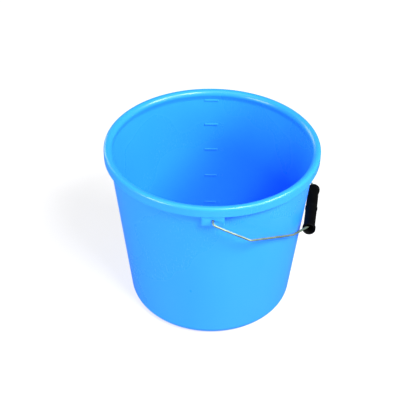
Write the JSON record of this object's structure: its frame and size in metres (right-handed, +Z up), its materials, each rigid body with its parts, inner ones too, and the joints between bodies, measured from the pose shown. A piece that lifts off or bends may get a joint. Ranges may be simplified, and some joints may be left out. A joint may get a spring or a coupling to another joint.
{
  "type": "mixing bucket",
  "caption": "Round tapered plastic mixing bucket with a rolled rim, inside graduations, a wire bail hooked in two rim ears and a tubular hand grip turning on the bail.",
  "frame": {"origin": "centre of the bucket's underside, on the bucket's axis", "axes": "+Z up along the bucket's axis, the two bail ears on -Y and +Y, the bail hanging towards +X at rest"},
  "size_m": [0.3968, 0.4006, 0.3232],
  "materials": {
    "blue_plastic": "glossy moulded polypropylene",
    "zinc_wire": "bright galvanised",
    "black_plastic": "semi-gloss black moulded grip"
  },
  "bodies": {
    "bucket": {"bucket_shell": "blue_plastic"},
    "bail": {"bail_wire": "zinc_wire"},
    "grip": {"hand_grip": "black_plastic"}
  },
  "joints": [
    {"name": "bail_swing", "type": "hinge", "parent": "bucket", "child": "bail", "pos_m": [0, 0, 0.297], "axis": [0, -1, 0], "range_deg": [0, 242]},
    {"name": "grip_spin", "type": "hinge", "parent": "bail", "child": "grip", "pos_m": [0.18372, -0.00946, 0.18661], "axis": [0.1608, 0.9822, -0.0966], "continuous": true}
  ]
}
